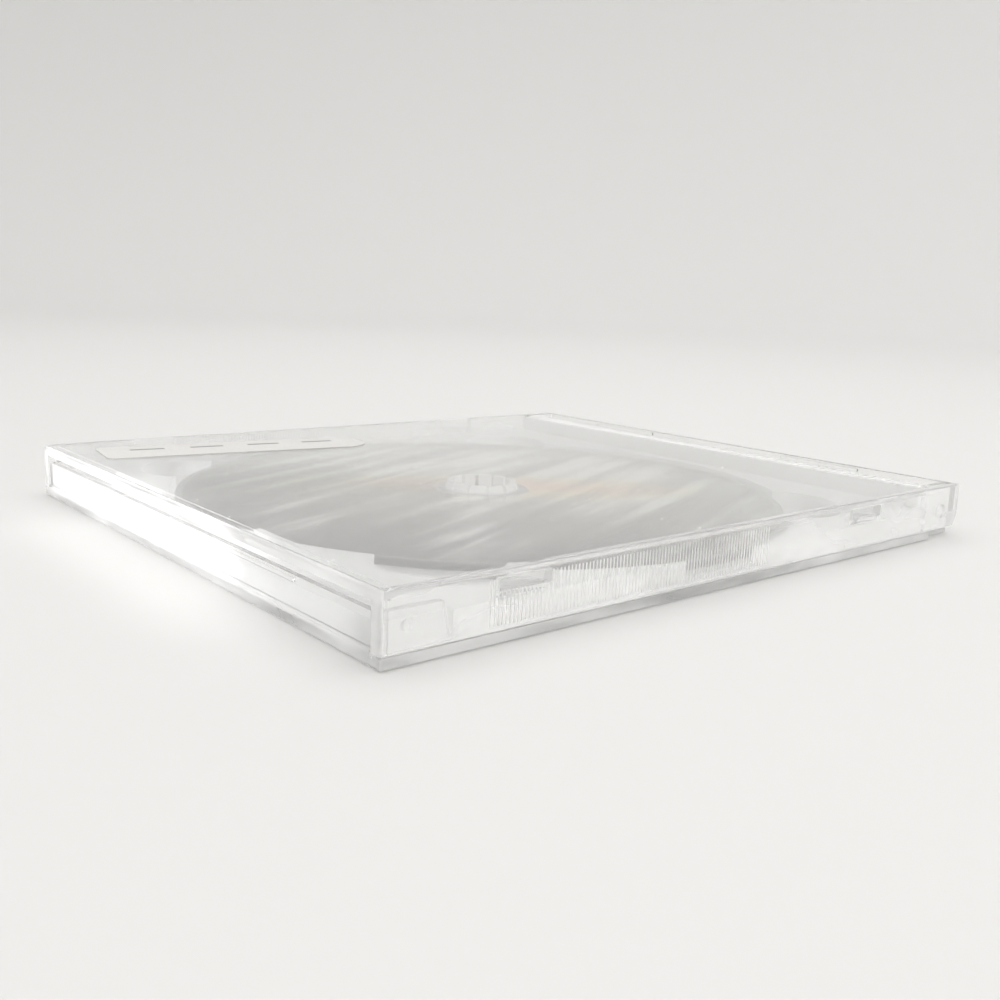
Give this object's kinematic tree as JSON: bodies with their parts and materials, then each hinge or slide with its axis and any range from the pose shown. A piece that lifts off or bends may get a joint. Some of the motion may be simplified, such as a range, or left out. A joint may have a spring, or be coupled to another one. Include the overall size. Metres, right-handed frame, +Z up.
{
  "type": "cd jewel case",
  "caption": "Clear hinged jewel case holding a disc on a clip-in tray with a toothed hub, and a blank paper label on its lid.",
  "frame": {"origin": "on the table, under the middle of the closed case", "axes": "+X towards the hinge side and -X towards the opening side, Y along the hinge line, +Z up through the lid"},
  "size_m": [0.142, 0.125, 0.0105],
  "materials": {
    "clear_cover": "clear polished polystyrene",
    "clear_base": "clear polished polystyrene",
    "clear_tray": "clear polished polystyrene",
    "disc_face": "metallised polycarbonate, iridescent",
    "label_paper": "uncoated paper"
  },
  "bodies": {
    "base": {"back_cover": "clear_base", "media_tray": "clear_tray", "disc": "disc_face"},
    "lid": {"front_cover": "clear_cover", "paper_label": "label_paper"}
  },
  "joints": [
    {"name": "lid_hinge", "type": "hinge", "parent": "base", "child": "lid", "pos_m": [0.0658, 0, 0.0052], "axis": [0, 1, 0], "range_deg": [0, 180]}
  ]
}
